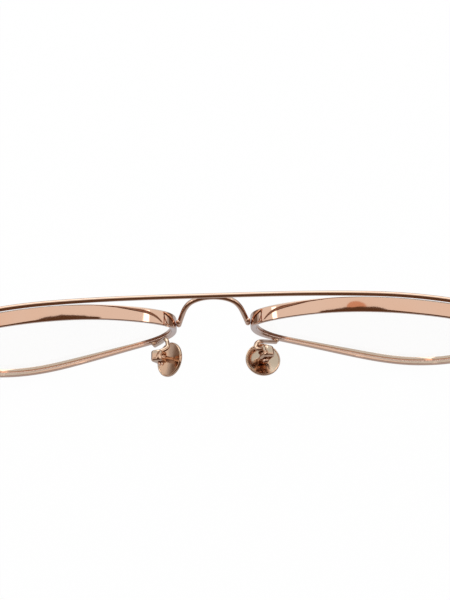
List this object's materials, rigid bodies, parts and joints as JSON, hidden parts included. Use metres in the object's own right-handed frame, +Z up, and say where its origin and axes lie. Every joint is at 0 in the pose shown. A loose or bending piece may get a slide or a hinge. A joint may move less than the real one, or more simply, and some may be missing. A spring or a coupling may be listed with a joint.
{
  "type": "sunglasses",
  "caption": "Aviator sunglasses with thin polished metal rims, a straight brow bar over an arched lower bridge, round metal nose pads and folding temples with plastic tips.",
  "frame": {"origin": "under the middle of the bounding box, at the height of the lowest point, where the rims and the temple tips rest", "axes": "-Y out of the front, +Y along the temples to the ears, +X to the wearer's left, +Z up"},
  "size_m": [0.1424, 0.1436, 0.0506],
  "materials": {
    "bar_metal": "mirror-polished rose-gold plating",
    "bridge_metal": "mirror-polished rose-gold plating",
    "rim_metal": "mirror-polished rose-gold plating",
    "end_piece_metal": "mirror-polished rose-gold plating",
    "hinge_metal": "polished rose-gold plating",
    "screw_metal": "polished rose-gold plating",
    "temple_metal": "mirror-polished rose-gold plating",
    "pad_arm_metal": "mirror-polished rose-gold plating",
    "pad_metal": "mirror-polished rose-gold plating",
    "lens_clear": "clear, very pale rose",
    "tip_plastic": "glossy"
  },
  "bodies": {
    "front": {"brow_bar": "bar_metal", "nose_bridge": "bridge_metal", "left_rim": "rim_metal", "left_lens": "lens_clear", "left_end_piece": "end_piece_metal", "left_closing_block": "end_piece_metal", "left_rim_screw": "screw_metal", "left_front_leaf": "hinge_metal", "left_hinge_screw": "screw_metal", "left_pad_arm": "pad_arm_metal", "left_pad_screw": "screw_metal", "right_rim": "rim_metal", "right_lens": "lens_clear", "right_end_piece": "end_piece_metal", "right_closing_block": "end_piece_metal", "right_rim_screw": "screw_metal", "right_front_leaf": "hinge_metal", "right_hinge_screw": "screw_metal", "right_pad_arm": "pad_arm_metal", "right_pad_screw": "screw_metal"},
    "left_temple_body": {"left_temple_leaf": "hinge_metal", "left_temple": "temple_metal", "left_temple_tip": "tip_plastic"},
    "right_temple_body": {"right_temple_leaf": "hinge_metal", "right_temple": "temple_metal", "right_temple_tip": "tip_plastic"},
    "left_pad_body": {"left_nose_pad": "pad_metal"},
    "right_pad_body": {"right_nose_pad": "pad_metal"}
  },
  "joints": [
    {"name": "left_temple_fold", "type": "hinge", "parent": "front", "child": "left_temple_body", "pos_m": [0.06858, -0.0561, 0.04057], "axis": [0, 0, 1], "range_deg": [0, 88]},
    {"name": "right_temple_fold", "type": "hinge", "parent": "front", "child": "right_temple_body", "pos_m": [-0.06858, -0.0561, 0.04057], "axis": [0, 0, -1], "range_deg": [0, 82]},
    {"name": "left_pad_rock", "type": "hinge", "parent": "front", "child": "left_pad_body", "pos_m": [0.0126, -0.06104, 0.02883], "axis": [0.0231, 0.999, 0.037], "range_deg": [-40, 10]},
    {"name": "right_pad_rock", "type": "hinge", "parent": "front", "child": "right_pad_body", "pos_m": [-0.0117, -0.06104, 0.02883], "axis": [0.1192, -0.9744, -0.1908], "range_deg": [-3, 47]}
  ]
}
